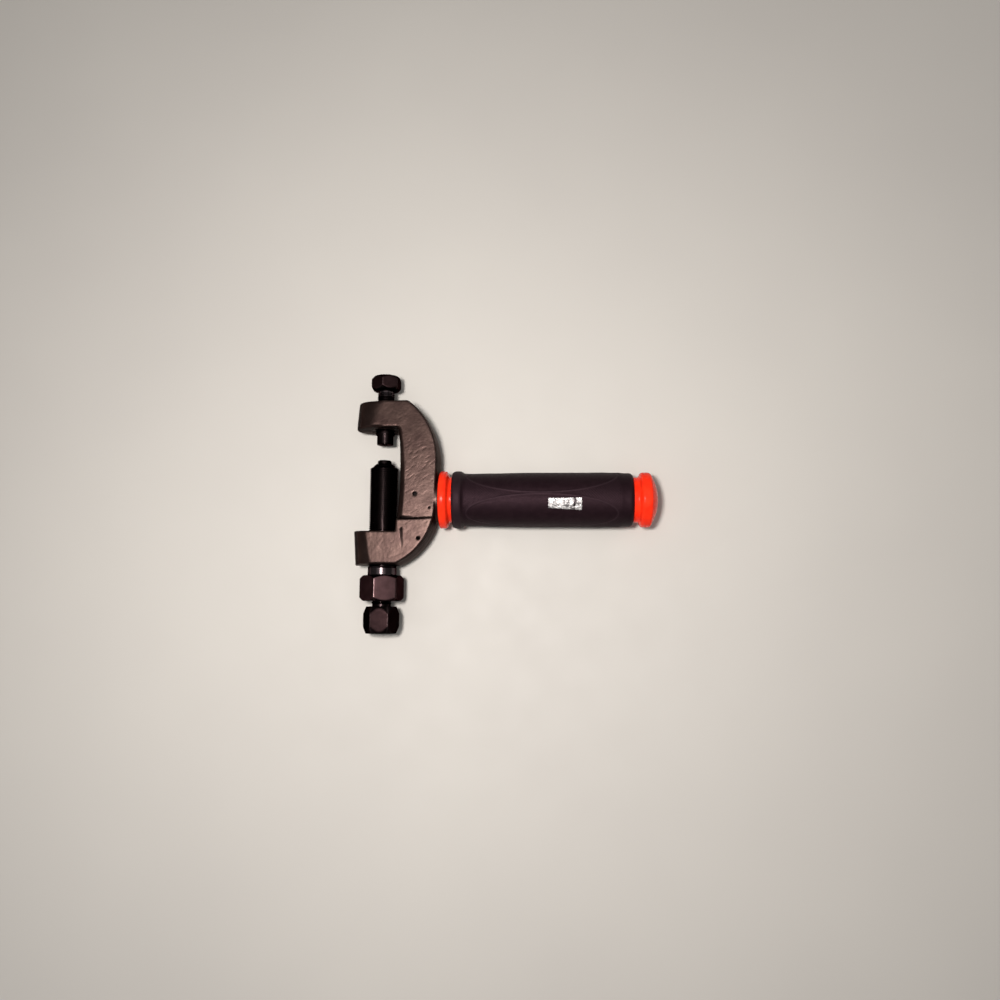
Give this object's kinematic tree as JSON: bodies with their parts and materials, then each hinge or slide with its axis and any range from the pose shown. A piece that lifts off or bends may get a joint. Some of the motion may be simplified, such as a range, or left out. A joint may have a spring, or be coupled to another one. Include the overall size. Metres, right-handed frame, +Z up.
{
  "type": "flaring tool",
  "caption": "C-frame screw press with a side grip: a hollow main screw, an inner push screw and an anvil bolt press, push out and flare rivets.",
  "frame": {"origin": "bottom centre of the bounding box as the tool lies flat", "axes": "+X along the handle towards its end cap, +Y along the screws towards the anvil bolt, +Z up, square to the frame's flat faces"},
  "size_m": [0.2116, 0.1816, 0.0402],
  "materials": {
    "black_painted_casting": "semi-gloss black paint over a rough casting",
    "black_oxide_steel": "oiled black oxide over turned and milled steel",
    "ground_steel": "ground hardened steel",
    "spring_steel": "dark blued spring steel",
    "zinc_steel": "bright zinc plate",
    "red_plastic": "glossy moulded red plastic",
    "black_rubber": "matte moulded rubber with fine stipple",
    "silver_foil": "creased bright foil"
  },
  "bodies": {
    "frame_body": {"frame": "black_painted_casting", "handle_stud": "zinc_steel", "stud_lock_pin": "spring_steel", "handle_core": "zinc_steel", "inner_collar": "red_plastic", "grip": "black_rubber", "label_foil": "silver_foil", "end_cap": "red_plastic", "handle_washer": "zinc_steel", "handle_spring_washer": "spring_steel", "handle_nut": "zinc_steel"},
    "anvil_nose_body": {"anvil_nose": "black_oxide_steel", "anvil_clip": "spring_steel"},
    "anvil_bolt_body": {"anvil_bolt": "black_oxide_steel"},
    "guide_body": {"guide_nose": "black_oxide_steel", "guide_clip": "spring_steel"},
    "main_screw_body": {"main_screw": "black_oxide_steel"},
    "thrust_pad_body": {"thrust_pad": "ground_steel", "pad_clip": "spring_steel"},
    "pin_screw_body": {"pin_screw": "black_oxide_steel"}
  },
  "joints": [
    {"name": "anvil_feed", "type": "slide", "parent": "frame_body", "child": "anvil_nose_body", "axis": [0, -1, 0], "range_m": [0, 0.005]},
    {"name": "anvil_turn", "type": "hinge", "parent": "anvil_nose_body", "child": "anvil_bolt_body", "pos_m": [-0.0855, 0.08565, 0.0201], "axis": [0, -1, 0], "range_deg": [0, 1441]},
    {"name": "main_feed", "type": "slide", "parent": "frame_body", "child": "guide_body", "axis": [0, 1, 0], "range_m": [-0.045, 0.0055]},
    {"name": "main_turn", "type": "hinge", "parent": "guide_body", "child": "main_screw_body", "pos_m": [-0.0855, -0.05965, 0.0201], "axis": [0, 1, 0], "range_deg": [-10801, 1321]},
    {"name": "inner_feed", "type": "slide", "parent": "main_screw_body", "child": "thrust_pad_body", "axis": [0, 1, 0], "range_m": [-0.03, 0.002]},
    {"name": "inner_turn", "type": "hinge", "parent": "thrust_pad_body", "child": "pin_screw_body", "pos_m": [-0.0855, -0.08105, 0.0201], "axis": [0, 1, 0], "range_deg": [-7201, 481]}
  ],
  "couplings": [
    {"joint": "anvil_turn", "follows": "anvil_feed", "rad_per_m": 5026.5},
    {"joint": "main_turn", "follows": "main_feed", "rad_per_m": 4188.8},
    {"joint": "inner_turn", "follows": "inner_feed", "rad_per_m": 4188.8}
  ]
}
